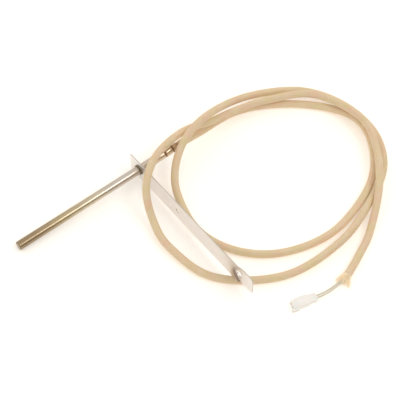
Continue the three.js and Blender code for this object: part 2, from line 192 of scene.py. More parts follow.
# ---- Light: the sky's brightness by height, from the horizon to overhead ----
SKY_SCALE = 2.0
SKY_BACK = ((0.0, 0.75), (0.2, 0.95), (0.6, 0.9), (0.85, 0.95), (1.0, 1.0))
SKY_FRONT = ((0.0, 0.2), (0.28, 0.26), (0.48, 0.85), (0.65, 0.7), (0.85, 0.9), (1.0, 1.0))
SKY_SEEN = (0.49, 0.485, 0.47, 1)
# The sky changes from back to front between these two values of a direction's Y.
SKY_FRONT_FROM = -0.2
SKY_FRONT_WHOLE = 0.5
SOFTBOX_PLACE = (-0.6, 0.87, 1.67)
SOFTBOX_AIM = (-0.01, -0.05, 0)
SOFTBOX_SIZE = (1.0, 0.45)
SOFTBOX_POWER = 5.4
SOFTBOX_COLOUR = (1, 0.98, 0.95)
FLOOR_HALF = 6


# ---------------------------------------------------------------- places and lines

def probe_matrix():
    return (
        Matrix.Translation(PROBE_PLACE)
        @ Matrix.Rotation(PROBE_PITCH, 4, "Y")
        @ Matrix.Rotation(PROBE_ROLL, 4, "X")
    )


def plug_matrix():
    return Matrix.Translation(PLUG_PLACE) @ Matrix.Rotation(PLUG_TURN, 4, "Z")


def on_tube_axis(x):
    return tuple(probe_matrix() @ Vector((x, 0, 0)))


def in_plug(x, y, z):
    return tuple(plug_matrix() @ Vector((x, y, z)))


class Line:
    """A smooth line through points. It gives the place, direction and side at a distance along it."""

    PER_SPAN = 48

    def __init__(self, points):
        given = np.array(points, float)
        before = 2 * given[0] - given[1]
        after = 2 * given[-1] - given[-2]
        p = np.vstack([before, given, after])
        t = np.linspace(0, 1, self.PER_SPAN, endpoint=False)[:, None]
        spans = []
        for i in range(1, len(p) - 2):
            a, b, c, d = p[i - 1], p[i], p[i + 1], p[i + 2]
            slope_b, slope_c = (c - a) / 2, (d - b) / 2
            spans.append(
                (2 * t**3 - 3 * t**2 + 1) * b + (t**3 - 2 * t**2 + t) * slope_b
                + (3 * t**2 - 2 * t**3) * c + (t**3 - t**2) * slope_c
            )
        self.places = np.vstack([*spans, given[-1:]])
        steps = np.linalg.norm(np.diff(self.places, axis=0), axis=1)
        self.far = np.concatenate([[0], np.cumsum(steps)])
        self.ways = unit(np.gradient(self.places, self.far, axis=0))
        self.sides = self.carried_sides()

    def carried_sides(self):
        """A side vector at each place, carried along without any twist."""
        side = unit(np.cross([0, 0, 1], self.ways[0]))
        sides = [side]
        for way in self.ways[1:]:
            side = unit(side - way * (side @ way))
            sides.append(side)
        return np.array(sides)

    def distance_at(self, point_number):
        return self.far[point_number * self.PER_SPAN]

    def sample(self, table, distance):
        return np.stack([np.interp(distance, self.far, table[:, i]) for i in range(3)], -1)

    def place(self, distance):
        return self.sample(self.places, distance)

    def way(self, distance):
        return unit(self.sample(self.ways, distance))

    def axes(self, distance):
        """Two unit vectors across the line, which turn with it but don't twist."""
        way = self.way(distance)
        side = self.sample(self.sides, distance)
        side = unit(side - way * np.sum(side * way, -1, keepdims=True))
        return side, np.cross(way, side)


def unit(vectors):
    return vectors / np.linalg.norm(vectors, axis=-1, keepdims=True)


def smoothstep(x, low, high):
    t = np.clip((x - low) / (high - low), 0, 1)
    return t * t * (3 - 2 * t)


def lead_line():
    return Line([
        *[on_tube_axis(x) for x in LEAD_AXIS_XS], on_tube_axis(SLEEVE_START_X),
        on_tube_axis(SLEEVE_START_X - LEAD_STRAIGHT_OUT),
        *LEAD_ROUTE, *WIRE_ROUTE,
        in_plug(0, 0, PLUG_AXIS_Z), in_plug(ENTRY_LENGTH, 0, PLUG_AXIS_Z),
        in_plug(2 * ENTRY_LENGTH, 0, PLUG_AXIS_Z),
    ])


LEAD = lead_line()
SLEEVE_START_POINT = len(LEAD_AXIS_XS)
SLEEVE_END_POINT = SLEEVE_START_POINT + 1 + len(LEAD_ROUTE)
SLEEVE_START = LEAD.distance_at(SLEEVE_START_POINT)
SLEEVE_END = LEAD.distance_at(SLEEVE_END_POINT)
PLUG_ENTRY = LEAD.distance_at(SLEEVE_END_POINT + len(WIRE_ROUTE) + 1)
WIRE_START = SLEEVE_START - WIRE_INSIDE_TUBE
WIRE_END = PLUG_ENTRY + ENTRY_LENGTH - 0.3 * MM


# ---------------------------------------------------------------- meshes

def new_piece(name, vertices, faces, material, matrix=None, smooth=True):
    mesh = bpy.data.meshes.new(name)
    mesh.from_pydata([tuple(v) for v in vertices], [], [tuple(int(i) for i in f) for f in faces])
    return finished(name, mesh, material, matrix, smooth)


def finished(name, mesh, material, matrix=None, smooth=True):
    if matrix is not None:
        mesh.transform(matrix)
    mesh.polygons.foreach_set("use_smooth", [smooth] * len(mesh.polygons))
    mesh.materials.append(material)
    mesh.update()
    piece = bpy.data.objects.new(name, mesh)
    bpy.context.scene.collection.objects.link(piece)
    return piece


def turned(profile, sides):
    """Vertices and faces of a closed ring turned about X. The profile is a list of (x, radius)."""
    vertices, faces = [], []
    count = len(profile)
    for j in range(sides):
        angle = 2 * math.pi * j / sides
        for x, r in profile:
            vertices.append((x, r * math.cos(angle), r * math.sin(angle)))
    for j in range(sides):
        a, b = j * count, ((j + 1) % sides) * count
        for i in range(count):
            n = (i + 1) % count
            faces.append((a + i, b + i, b + n, a + n))
    return vertices, faces


def rounded(profile, r, steps=4):
    """The closed profile with each corner rounded to radius r, or to what its sides allow."""
    points = [Vector(p) for p in profile]
    result = []
    for i, corner in enumerate(points):
        before = points[i - 1] - corner
        after = points[(i + 1) % len(points)] - corner
        cut = min(r, before.length * 0.45, after.length * 0.45)
        start = corner + before.normalized() * cut
        end = corner + after.normalized() * cut
        for s in range(steps + 1):
            t = s / steps
            result.append(tuple(start * (1 - t) ** 2 + corner * 2 * t * (1 - t) + end * t**2))
    return result


def swept(places, side, up, radii, sides):
    """Vertices and faces of a closed round rod along places, with rounded-off flat ends."""
    angles = np.linspace(0, 2 * np.pi, sides, endpoint=False)
    rings = (
        places[:, None, :]
        + radii[:, None, None] * np.cos(angles)[None, :, None] * side[:, None, :]
        + radii[:, None, None] * np.sin(angles)[None, :, None] * up[:, None, :]
    )
    count = len(places)
    vertices = rings.reshape(-1, 3)
    faces = []
    for i in range(count - 1):
        for j in range(sides):
            n = (j + 1) % sides
            a, b = i * sides, (i + 1) * sides
            faces.append((a + j, a + n, b + n, b + j))
    faces.append(tuple(range(sides))[::-1])
    faces.append(tuple((count - 1) * sides + j for j in range(sides)))
    return vertices, faces


def joined(parts):
    vertices, faces = [], []
    for part_vertices, part_faces in parts:
        base = len(vertices)
        vertices.extend(tuple(v) for v in part_vertices)
        faces.extend(tuple(i + base for i in f) for f in part_faces)
    return vertices, faces


def store_along(piece, low, high, matrix):
    """Keeps each vertex's place along the probe's X axis, from 0 at low to 1 at high."""
    inverse = matrix.inverted()
    values = [((inverse @ v.co).x - low) / (high - low) for v in piece.data.vertices]
    piece.data.attributes.new("along", "FLOAT", "POINT").data.foreach_set("value", values)


# ---------------------------------------------------------------- materials

class Nodes:
    """Short ways to add shader nodes to a new material."""

    def __init__(self, name):
        self.material = bpy.data.materials.new(name)
        self.material.use_nodes = True
        self.tree = self.material.node_tree
        self.shader = self.tree.nodes["Principled BSDF"]

    def add(self, kind, **settings):
        node = self.tree.nodes.new(kind)
        for key, value in settings.items():
            setattr(node, key, value)
        return node

    def link(self, source, target):
        self.tree.links.new(source, target)

    def put(self, socket, value):
        if isinstance(value, bpy.types.NodeSocket):
            self.link(value, socket)
        else:
            socket.default_value = value

    def math(self, operation, *values):
        node = self.add("ShaderNodeMath", operation=operation)
        for i, value in enumerate(values):
            self.put(node.inputs[i], value)
        return node.outputs[0]

    def mix(self, factor, a, b, blend="MIX"):
        node = self.add("ShaderNodeMix", data_type="RGBA", blend_type=blend)
        self.put(node.inputs[0], factor)
        self.put(node.inputs[6], a)
        self.put(node.inputs[7], b)
        return node.outputs[2]

    def ramp(self, factor, stops):
        node = self.add("ShaderNodeValToRGB")
        fill_ramp(node, stops)
        self.put(node.inputs[0], factor)
        return node.outputs[0]

    def span(self, value, low, high, to_low=0.0, to_high=1.0):
        node = self.add("ShaderNodeMapRange")
        for i, v in enumerate((value, low, high, to_low, to_high)):
            self.put(node.inputs[i], v)
        return node.outputs[0]

    def noise(self, scale, detail=3.0, stretch=None):
        node = self.add("ShaderNodeTexNoise")
        node.inputs["Scale"].default_value = scale
        node.inputs["Detail"].default_value = detail
        source = self.add("ShaderNodeTexCoord").outputs["Object"]
        if stretch:
            mapping = self.add("ShaderNodeMapping")
            mapping.inputs["Scale"].default_value = stretch
            self.link(source, mapping.inputs["Vector"])
            source = mapping.outputs[0]
        self.link(source, node.inputs["Vector"])
        return node.outputs["Fac"]

    def bump(self, height, strength, distance):
        node = self.add("ShaderNodeBump")
        node.inputs["Strength"].default_value = strength
        node.inputs["Distance"].default_value = distance
        self.link(height, node.inputs["Height"])
        self.link(node.outputs[0], self.shader.inputs["Normal"])

    def attribute(self, name):
        return self.add("ShaderNodeAttribute", attribute_name=name).outputs["Fac"]

    def set(self, **values):
        for key, value in values.items():
            self.put(self.shader.inputs[key.replace("_", " ")], value)


def four(colour):
    return (*colour, 1)


def fill_ramp(node, stops):
    """Gives a colour ramp its stops, each a position and a colour."""
    elements = node.color_ramp.elements
    while len(elements) < len(stops):
        elements.new(0.5)
    for element, (position, colour) in zip(elements, stops):
        element.position = position
        element.color = four(colour)


def tube_steel():
    """Drawn stainless steel: grey-beige at the strip, tinted golden brown by heat at the tip."""
    n = Nodes("tube_steel")
    along = n.attribute("along")
    patches = n.noise(70, 2)
    shifted = n.math("ADD", along, n.span(patches, 0.3, 0.7, -0.05, 0.05))
    tint = n.ramp(shifted, [
        (0.0, (0.60, 0.46, 0.31)), (0.08, (0.62, 0.50, 0.36)), (0.2, (0.65, 0.55, 0.44)),
        (0.3, (0.63, 0.56, 0.49)), (0.42, (0.59, 0.53, 0.46)), (0.56, (0.64, 0.55, 0.42)),
        (0.72, (0.48, 0.39, 0.24)), (0.88, (0.36, 0.265, 0.165)), (1.0, (0.35, 0.26, 0.16)),
    ])
    streaks = n.noise(900, 2, stretch=(0.05, 1, 1))
    fine = n.span(streaks, 0.3, 0.7, 0.9, 1.06)
    colour = n.mix(1.0, tint, n.ramp(fine, [(0.0, (0, 0, 0)), (1.0, (1, 1, 1))]), "MULTIPLY")
    n.set(Base_Color=colour, Metallic=1.0, Roughness=n.span(streaks, 0.3, 0.7, 0.2, 0.32))
    n.bump(streaks, 0.12, 0.0001)
    return n.material


def groove_shade():
    """The crimp grooves, painted dark reddish brown for the shade and the braid's reflection in them.
    """
    n = Nodes("groove_shade")
    mottle = n.noise(1400, 3)
    colour = n.mix(mottle, four((0.20, 0.11, 0.06)), four((0.34, 0.21, 0.12)))
    n.set(Base_Color=colour, Metallic=0.8, Roughness=n.span(mottle, 0.3, 0.7, 0.35, 0.55))
    n.bump(mottle, 0.2, 0.0001)
    return n.material


def tip_metal():
    """The tip's end disc: duller, with a fine grain."""
    n = Nodes("tip_metal")
    grain = n.noise(2200, 3)
    colour = n.mix(grain, four((0.42, 0.36, 0.29)), four((0.60, 0.54, 0.45)))
    n.set(Base_Color=colour, Metallic=0.9, Roughness=n.span(grain, 0.3, 0.7, 0.4, 0.6))
    n.bump(grain, 0.2, 0.0001)
    return n.material


def strip_steel():
    """Rolled stainless sheet: pale, semi-matt, with a faint grain, and painted dark brown shade in
    its jog.
    """
    n = Nodes("strip_steel")
    grain = n.noise(1500, 3, stretch=(1, 0.04, 1))
    cloud = n.noise(45, 2)
    colour = n.mix(grain, four((0.80, 0.76, 0.73)), four((0.87, 0.83, 0.80)))
    colour = n.mix(n.span(cloud, 0.4, 0.75, 0.0, 0.3), colour, four((0.81, 0.75, 0.68)))
    jog_shade = n.attribute("jog_shade")
    # Painted shade: the jog is darkened to brown for the shade and the dark reflection of the braid
    # there.
    jog_shade_colour = n.mix(n.noise(1800, 3), four((0.16, 0.09, 0.05)), four((0.30, 0.19, 0.12)))
    colour = n.mix(n.math("MULTIPLY", jog_shade, 0.85), colour, jog_shade_colour)
    n.set(Base_Color=colour, Metallic=0.95,
          Roughness=n.math("ADD", n.span(grain, 0.3, 0.7, 0.24, 0.36),
                           n.math("MULTIPLY", jog_shade, 0.25)))
    n.bump(grain, 0.06, 0.0001)
    return n.material


def sheared_edge():
    """The sheet's cut edges: greyer and duller than its faces."""
    n = Nodes("sheared_edge")
    grain = n.noise(2600, 3, stretch=(1, 0.3, 0.3))
    colour = n.mix(grain, four((0.50, 0.44, 0.39)), four((0.66, 0.59, 0.53)))
    n.set(Base_Color=colour, Metallic=0.9, Roughness=n.span(grain, 0.3, 0.7, 0.4, 0.55))
    n.bump(grain, 0.2, 0.0001)
    return n.material


def collar_steel():
    """Dull olive-brown rings: partly heat tint, and partly painted shade for the gap round the tube
    at the strip.
    """
    n = Nodes("collar_steel")
    mottle = n.noise(900, 3)
    # Painted shade: the dark colour also stands for the shadowed gap where the tube passes the strip.
    colour = n.mix(mottle, four((0.20, 0.16, 0.08)), four((0.34, 0.28, 0.16)))
    n.set(Base_Color=colour, Metallic=0.9, Roughness=n.span(mottle, 0.3, 0.7, 0.3, 0.45))
    n.bump(mottle, 0.3, 0.0001)
    return n.material


def speck_dark():
    n = Nodes("speck_dark")
    colour = n.mix(n.noise(3000, 2), four((0.35, 0.28, 0.22)), four((0.55, 0.47, 0.40)))
    n.set(Base_Color=colour, Metallic=0.5, Roughness=0.6)
    return n.material


def braid_yarn():
    """Braided glass yarn. The UV map counts yarns one way in U and the other way in V."""
    n = Nodes("braid_yarn")
    uv = n.add("ShaderNodeSeparateXYZ")
    n.link(n.add("ShaderNodeUVMap", uv_map="yarns").outputs[0], uv.inputs[0])
    u, v = uv.outputs[0], uv.outputs[1]
    cell = n.math("ADD", n.math("FLOOR", u), n.math("FLOOR", v))
    u_is_top = n.math("LESS_THAN", n.math("FLOORED_MODULO", cell, 4.0), 2.0)
    across_u, across_v = n.math("FRACT", u), n.math("FRACT", v)
    across = n.math("ADD", n.math("MULTIPLY", across_u, u_is_top),
                    n.math("MULTIPLY", across_v, n.math("SUBTRACT", 1.0, u_is_top)))
    off_middle = n.math("ABSOLUTE", n.math("SUBTRACT", n.math("MULTIPLY", across, 2.0), 1.0))
    body = n.math("SUBTRACT", 1.0, n.math("POWER", off_middle, 4.0))
    wobble = n.noise(900, 2)
    fibres = n.math("SINE", n.math("ADD", n.math("MULTIPLY", across, 36.0),
                                   n.math("MULTIPLY", wobble, 9.0)))
    fibre = n.span(fibres, -1.0, 1.0)
    patch = n.span(n.noise(110, 2), 0.38, 0.62)
    warm = n.mix(patch, four((0.97, 0.61, 0.40)), four((0.87, 0.70, 0.34)))
    pale = n.mix(n.span(n.noise(240, 3), 0.35, 0.7), warm, four((0.95, 0.75, 0.50)))
    lit = n.mix(n.math("MULTIPLY", fibre, 0.45), pale, four((1.0, 0.88, 0.68)))
    # Painted shade: each yarn darkens to brown towards its edges, in the gaps between yarns.
    colour = n.mix(body, four((0.36, 0.23, 0.11)), lit)
    n.set(Base_Color=colour, Roughness=0.72, Sheen_Weight=0.15, Sheen_Roughness=0.5)
    height = n.math("ADD", n.math("MULTIPLY", body, 0.8), n.math("MULTIPLY", fibre, 0.25))
    n.bump(height, 0.65, 0.00018)
    return n.material


def loose_yarn():
    """The frayed ends: the same yarn, opened out and paler, with a faint painted glow that lifts the
    shade inside the opened bundle.
    """
    n = Nodes("loose_yarn")
    shade = n.noise(700, 3)
    colour = n.mix(shade, four((0.98, 0.78, 0.52)), four((1.0, 0.90, 0.70)))
    # Painted light: a faint emission brightens the shaded inside of the opened bundle.
    n.set(Base_Color=colour, Roughness=0.6, Sheen_Weight=0.2,
          Emission_Color=four((1.0, 0.78, 0.52)), Emission_Strength=0.1)
    n.bump(n.noise(4000, 2), 0.2, 0.00005)
    return n.material


def wire_cover():
    """Thin varnished lapping over each wire."""
    n = Nodes("wire_cover")
    laps = n.noise(2500, 3, stretch=(1, 0.3, 1))
    colour = n.mix(laps, four((0.62, 0.55, 0.42)), four((0.81, 0.76, 0.63)))
    n.set(Base_Color=colour, Roughness=n.span(laps, 0.3, 0.7, 0.35, 0.55), Specular_IOR_Level=0.4)
    n.bump(laps, 0.3, 0.00008)
    return n.material


def plug_nylon():
    """White moulded nylon, slightly cloudy, with a fine moulded grain."""
    n = Nodes("plug_nylon")
    cloud = n.noise(300, 3)
    colour = n.mix(cloud, four((0.91, 0.88, 0.83)), four((0.97, 0.94, 0.90)))
    n.set(Base_Color=colour, Roughness=n.span(n.noise(3000, 2), 0.3, 0.7, 0.38, 0.5),
          Subsurface_Weight=0.1, Subsurface_Scale=0.001)
    n.bump(n.noise(5000, 2), 0.05, 0.00005)
    return n.material


def tinned_contact():
    n = Nodes("tinned_contact")
    grain = n.noise(4000, 2)
    colour = n.mix(grain, four((0.62, 0.56, 0.46)), four((0.75, 0.70, 0.60)))
    n.set(Base_Color=colour, Metallic=1.0, Roughness=n.span(grain, 0.3, 0.7, 0.25, 0.4))
    n.bump(grain, 0.1, 0.00005)
    return n.material


def fired_ceramic():
    n = Nodes("fired_ceramic")
    grain = n.noise(2600, 4)
    colour = n.mix(grain, four((0.72, 0.68, 0.58)), four((0.84, 0.80, 0.72)))
    n.set(Base_Color=colour, Roughness=n.span(grain, 0.3, 0.7, 0.55, 0.75))
    n.bump(grain, 0.2, 0.00008)
    return n.material


# ---------------------------------------------------------------- lead

def braid_height(a, b):
    """Relief of a two-over, two-under braid, 0 to 1, at half-yarn lattice points a and b."""
    i, j = a // 2, b // 2
    a_inside, b_inside = a % 2 == 1, b % 2 == 1

    def a_over(i, j):
        return ((i + j) % 4 < 2).astype(float)

    here = a_over(i, j)
    crest_a = a_over(i, j - 1) + here
    crest_b = 2 - a_over(i - 1, j) - here
    levels = np.array([0.25, 0.5, 1.0])
    height = np.full(a.shape, 0.1)
    height = np.where(a_inside & ~b_inside, levels[crest_a.astype(int)], height)
    height = np.where(~a_inside & b_inside, levels[crest_b.astype(int)], height)
    return np.where(a_inside & b_inside, 0.85, height)


def sleeve_radius(distance):
    """The braid is nipped in where the tube's mouth holds it, and opens at its frayed end."""
    held = smoothstep(distance, SLEEVE_START, SLEEVE_START + BRAID_NIPPED_LENGTH)
    opened = smoothstep(distance, SLEEVE_END - BRAID_OPENED_LENGTH, SLEEVE_END)
    radius = BRAID_NIPPED_R + (SLEEVE_R - BRAID_NIPPED_R) * held
    return radius * (1 + BRAID_OPENED_BY * opened)


def make_sleeve():
    """The braid's surface, on a lattice that follows its yarns."""
    per_yarn = 2
    columns = per_yarn * BRAID_YARNS
    row_length = BRAID_PITCH / (2 * columns)
    start = SLEEVE_START + BRAID_GAP
    rows = int((SLEEVE_END - start) / row_length)
    m, k = np.meshgrid(np.arange(rows), np.arange(columns), indexing="ij")
    angle = 2 * np.pi * (k + 0.5 * (m % 2)) / columns
    a = k + (m % 2 + m) // 2
    b = k + (m % 2 - m) // 2
    distance = start + np.arange(rows) * row_length
    side, up = LEAD.axes(distance)
    radius = sleeve_radius(distance)[:, None] - BRAID_RELIEF * (1 - braid_height(a, b))
    vertices = (
        LEAD.place(distance)[:, None, :]
        + (radius * np.cos(angle))[..., None] * side[:, None, :]
        + (radius * np.sin(angle))[..., None] * up[:, None, :]
    ).reshape(-1, 3)
    odd = m[:-2] % 2
    left, right = k[:-2] - 1 + odd, k[:-2] + odd
    row = m[:-2] * columns
    corners = [
        (row + k[:-2], m[:-2], k[:-2]),
        (row + columns + right % columns, m[:-2] + 1, right),
        (row + 2 * columns + k[:-2], m[:-2] + 2, k[:-2]),
        (row + columns + left % columns, m[:-2] + 1, left),
    ]
    faces = np.stack([c[0] for c in corners], -1).reshape(-1, 4)
    mesh = bpy.data.meshes.new("braided_sleeve_yarns")
    mesh.from_pydata(vertices.tolist(), [], faces.tolist())
    counts = []
    for _, cm, ck in corners:
        counts.append(np.stack([ck + (cm % 2 + cm) // 2, ck + (cm % 2 - cm) // 2], -1))
    uv = np.stack(counts, 2).reshape(-1, 2) / per_yarn
    mesh.uv_layers.new(name="yarns").data.foreach_set("uv", uv.astype(np.float32).ravel())
    return finished("sleeve", mesh, braid_yarn())


def wire_offset(distance):
    """How far each wire lies from the pair's middle: close together, and apart at both ends."""
    leaving = smoothstep(distance, WIRE_START + WIRE_CLOSING[0], WIRE_START + WIRE_CLOSING[1])
    arriving = smoothstep(distance, SLEEVE_END + WIRE_OPENING[0], PLUG_ENTRY - WIRE_OPENING[1])
    inside = WIRE_SPREAD_AT_SPLICE + (WIRE_SPREAD - WIRE_SPREAD_AT_SPLICE) * leaving
    return inside + (ENTRY_PITCH / 2 - inside) * arriving


def wire_line(hand, steps):
    """Places along one wire. The pair lies side by side, level with the surface."""
    distance = np.linspace(WIRE_START, WIRE_END, steps)
    way = LEAD.way(distance)
    level = unit(np.cross(np.tile([0.0, 0, 1], (steps, 1)), way))
    return LEAD.place(distance) + level * (hand * wire_offset(distance))[:, None], way, level


def make_wire(number, hand):
    places, way, level = wire_line(hand, 700)
    up = np.cross(way, level)
    radii = np.full(len(places), WIRE_R)
    vertices, faces = swept(places, level, up, radii, 12)
    return new_piece(f"wire_{number}", vertices, faces, MATERIALS["wire"]), places


def curl_step(rng):
    return np.array([rng.uniform(-THREAD_CURL, THREAD_CURL) for _ in range(3)])


def loose_thread(start, way, length, rng):
    """A loose thread from start: it leaves along way, and sinks until it lies on the surface."""
    steps = 7
    points = [start]
    heading = unit(way + curl_step(rng))
    for _ in range(steps):
        heading = unit(heading + curl_step(rng) - [0, 0, THREAD_DROOP])
        point = points[-1] + heading * length / steps
        point[2] = max(point[2], THREAD_LOWEST_Z)
        points.append(point)
    return np.array(points)


def make_fray():
    """The braid's end: its yarns opened into threads that spread a little round the wires."""
    rng = random.Random(FRAY_SEED)
    side, up = LEAD.axes(SLEEVE_END)
    way = LEAD.way(SLEEVE_END)
    centre = LEAD.place(SLEEVE_END)
    parts = []
    for yarn in range(2 * BRAID_YARNS):
        angle = 2 * math.pi * yarn / (2 * BRAID_YARNS)
        outward = math.cos(angle) * side + math.sin(angle) * up
        spread = rng.uniform(*FRAY_SPREAD)
        length = rng.uniform(*FRAY_LENGTH)
        yarn_way = unit(way + outward * spread)
        for _ in range(THREADS_PER_YARN):
            jitter = outward * rng.uniform(-0.25, 0.15) * MM + side * rng.uniform(-0.3, 0.3) * MM
            start = centre - way * FRAY_START + outward * FRAY_RING_R + jitter
            thread_length = length * rng.uniform(0.8, 1.15)
            points = loose_thread(start, yarn_way, thread_length, rng)
            ways = unit(np.gradient(points, axis=0))
            across = unit(np.cross(ways, [0.31, 0.17, 0.93]))
            radii = np.linspace(THREAD_THICK_R, THREAD_THIN_R, len(points))
            parts.append(swept(points, across, np.cross(ways, across), radii, 4))
    return new_piece("fray", *joined(parts), loose_yarn())


# ---------------------------------------------------------------- probe

def tube_profile():
    """The tube's section, closed, from the mouth's inner edge round to the tip's inner edge."""
    wall = [(MOUTH_X, BORE_R), (MOUTH_X, TUBE_R - MOUTH_EDGE), (MOUTH_X + MOUTH_EDGE, TUBE_R)]
    for x in CRIMP_XS:
        for i in range(13):
            t = i / 12
            dip = math.sin(math.pi * t) ** 1.5
            wall.append((x + (2 * t - 1) * CRIMP_HALF, TUBE_R - CRIMP_DEPTH * dip))
    steps = 60
    first = CRIMP_XS[-1] + 2 * CRIMP_HALF
    last = TIP_X - 1 * MM
    wall.extend((first + (last - first) * i / steps, TUBE_R) for i in range(steps + 1))
    for i in range(5):
        angle = math.pi / 2 * i / 4
        x = TIP_X - TIP_EDGE + TIP_EDGE * math.sin(angle)
        wall.append((x, TUBE_R - TIP_EDGE + TIP_EDGE * math.cos(angle)))
    wall.append((TIP_X, BORE_R))
    return wall


def make_tube():
    vertices, faces = turned(tube_profile(), 72)
    tube = new_piece("tube", vertices, faces, tube_steel(), probe_matrix())
    # The crimp grooves get a second material with painted shade.
    tube.data.materials.append(groove_shade())
    inverse = probe_matrix().inverted()
    for face in tube.data.polygons:
        middle = inverse @ face.center
        if any(abs(middle.x - x) < CRIMP_HALF * 0.8 for x in CRIMP_XS):
            if math.hypot(middle.y, middle.z) > BORE_R * 1.02:
                face.material_index = 1
    store_along(tube, MOUTH_X, TIP_X, probe_matrix())
    return tube


def make_tip_disc():
    """The closed end: a disc pressed in just below the tube's rim, with a fine ring round it."""
    top = TIP_X - TIP_DISC_SUNK
    back = top - TIP_DISC_T
    profile = [
        (back, 0.05 * MM), (back, TIP_DISC_R), (top - 0.15 * MM, TIP_DISC_R),
        (top, 2.3 * MM), (top, 1.9 * MM), (top - 0.08 * MM, 1.8 * MM), (top - 0.02 * MM, 1.6 * MM),
        (top + 0.03 * MM, 0.8 * MM), (top + 0.04 * MM, 0.05 * MM),
    ]
    return new_piece("tip_disc", *turned(profile, 48), tip_metal(), probe_matrix())


def painted_jog_shade(y, z):
    """How much painted shade the jog gets: over its slope, and most in its lower half."""
    start = JOG_CENTRE_Y - math.sqrt(JOG_R**2 - z**2)
    t = min(max((y - start) / JOG_WIDTH, 0), 1)
    lower = 1 - float(smoothstep(z, -3 * MM, 7 * MM))
    return min(1, 5 * t * (1 - t)) * (0.3 + 0.7 * lower)


def set_back(y, z):
    """How far the sheet lies behind its front plane, at a place on its face."""
    start = JOG_CENTRE_Y - math.sqrt(JOG_R**2 - z**2)
    depth = JOG_DEPTH - JOG_TWIST * z
    return depth * float(smoothstep(y, start, start + JOG_WIDTH))


def add_loop(curve, points):
    spline = curve.splines.new("POLY")
    spline.points.add(len(points) - 1)
    for point, (y, z) in zip(spline.points, points):
        point.co = (y, z, 0, 1)
    spline.use_cyclic_u = True


def circle(y, z, r, sides):
    return [
        (y + r * math.cos(2 * math.pi * i / sides), z + r * math.sin(2 * math.pi * i / sides))
        for i in range(sides)
    ]


def strip_outline():
    corners = [
        (STRIP_NEAR_Y, -STRIP_HALF_H, NEAR_CORNER_R, 180),
        (STRIP_FAR_Y, -STRIP_HALF_H, FAR_CORNER_R, 270),
        (STRIP_FAR_Y, STRIP_HALF_H, FAR_CORNER_R, 0),
        (STRIP_NEAR_Y, STRIP_HALF_H, NEAR_CORNER_R, 90),
    ]
    points = []
    for y, z, r, start in corners:
        cy = y - math.copysign(r, y)
        cz = z - math.copysign(r, z)
        for i in range(9):
            angle = math.radians(start + 90 * i / 8)
            points.append((cy + r * math.cos(angle), cz + r * math.sin(angle)))
    return points


def cut_across(b, faces_from, along, places):
    """Cuts the faces beyond faces_from with planes at the given places along one axis."""
    normal = Vector((1, 0, 0)) if along == 0 else Vector((0, 1, 0))
    for place in places:
        faces = [f for f in b.faces if f.calc_center_median().x > faces_from]
        edges = {e for f in faces for e in f.edges}
        verts = {v for f in faces for v in f.verts}
        bmesh.ops.bisect_plane(
            b, geom=[*verts, *edges, *faces], plane_co=normal * place, plane_no=normal,
        )


def strip_mesh():
    """The flat sheet with its holes and rounded edges, cut finely near the jog and set back.

    It is drawn in the plane of its face, so the curve's X and Y are the probe's Y and Z.
    """
    curve = bpy.data.curves.new("strip_outline", "CURVE")
    curve.dimensions = "2D"
    curve.fill_mode = "BOTH"
    curve.extrude = STRIP_T / 2 - STRIP_BEVEL
    curve.bevel_depth = STRIP_BEVEL
    curve.bevel_resolution = 2
    curve.offset = -STRIP_BEVEL
    add_loop(curve, strip_outline())
    for y, r in ((0, TUBE_HOLE_R), (SMALL_HOLE_Y, SMALL_HOLE_R), (SCREW_HOLE_Y, SCREW_HOLE_R)):
        add_loop(curve, circle(y, 0, r, 48))
    holder = bpy.data.objects.new("strip_outline", curve)
    bpy.context.scene.collection.objects.link(holder)
    mesh = bpy.data.meshes.new_from_object(
        holder.evaluated_get(bpy.context.evaluated_depsgraph_get())
    )
    bpy.data.objects.remove(holder)
    b = bmesh.new()
    b.from_mesh(mesh)
    bmesh.ops.remove_doubles(b, verts=b.verts, dist=1e-6)
    for face in b.faces:
        face.material_index = 1 if abs(face.normal.z) < 0.5 else 0
    bmesh.ops.bisect_plane(
        b, geom=[*b.verts, *b.edges, *b.faces],
        plane_co=(BEND_FROM_Y, 0, 0), plane_no=(1, 0, 0),
    )
    cut_across(b, BEND_FROM_Y, 0, np.arange(BEND_FROM_Y + 1 * MM, STRIP_FAR_Y, JOG_CUT_Y))
    cut_across(b, BEND_FROM_Y, 1, np.arange(JOG_CUT_FROM_Z, STRIP_HALF_H, JOG_CUT_Z))
    # Painted shade for the jog, kept per vertex.
    jog_shade = b.verts.layers.float.new("jog_shade")
    for v in b.verts:
        y, z, x = v.co
        v.co = (x - STRIP_T / 2 - set_back(y, z), y, z)
        v[jog_shade] = painted_jog_shade(y, z)
    bmesh.ops.recalc_face_normals(b, faces=b.faces)
    b.to_mesh(mesh)
    b.free()
    return mesh


def screw_rim():
    """The screw hole's low rim, with a rounded crest."""
    inner = SCREW_HOLE_R - 0.02 * MM
    profile = [
        (-0.4 * MM, inner), (SCREW_RIM_HEIGHT, inner), (SCREW_RIM_HEIGHT, SCREW_RIM_R - 0.3 * MM),
        (0.05 * MM, SCREW_RIM_R), (-0.4 * MM, SCREW_RIM_R),
    ]
    vertices, faces = turned(rounded(profile, 0.15 * MM), 48)
    placed = []
    for x, y, z in vertices:
        y += SCREW_HOLE_Y
        placed.append((x - set_back(y, z), y, z))
    return placed, faces


def make_strip():
    strip = finished("strip", strip_mesh(), strip_steel(), probe_matrix())
    strip.data.materials.append(sheared_edge())
    rim = new_piece("strip_rim", *screw_rim(), strip.data.materials[0], probe_matrix())
    with bpy.context.temp_override(active_object=strip, selected_editable_objects=[strip, rim]):
        bpy.ops.object.join()
    strip.data.set_sharp_from_angle(angle=math.radians(35))
    return strip


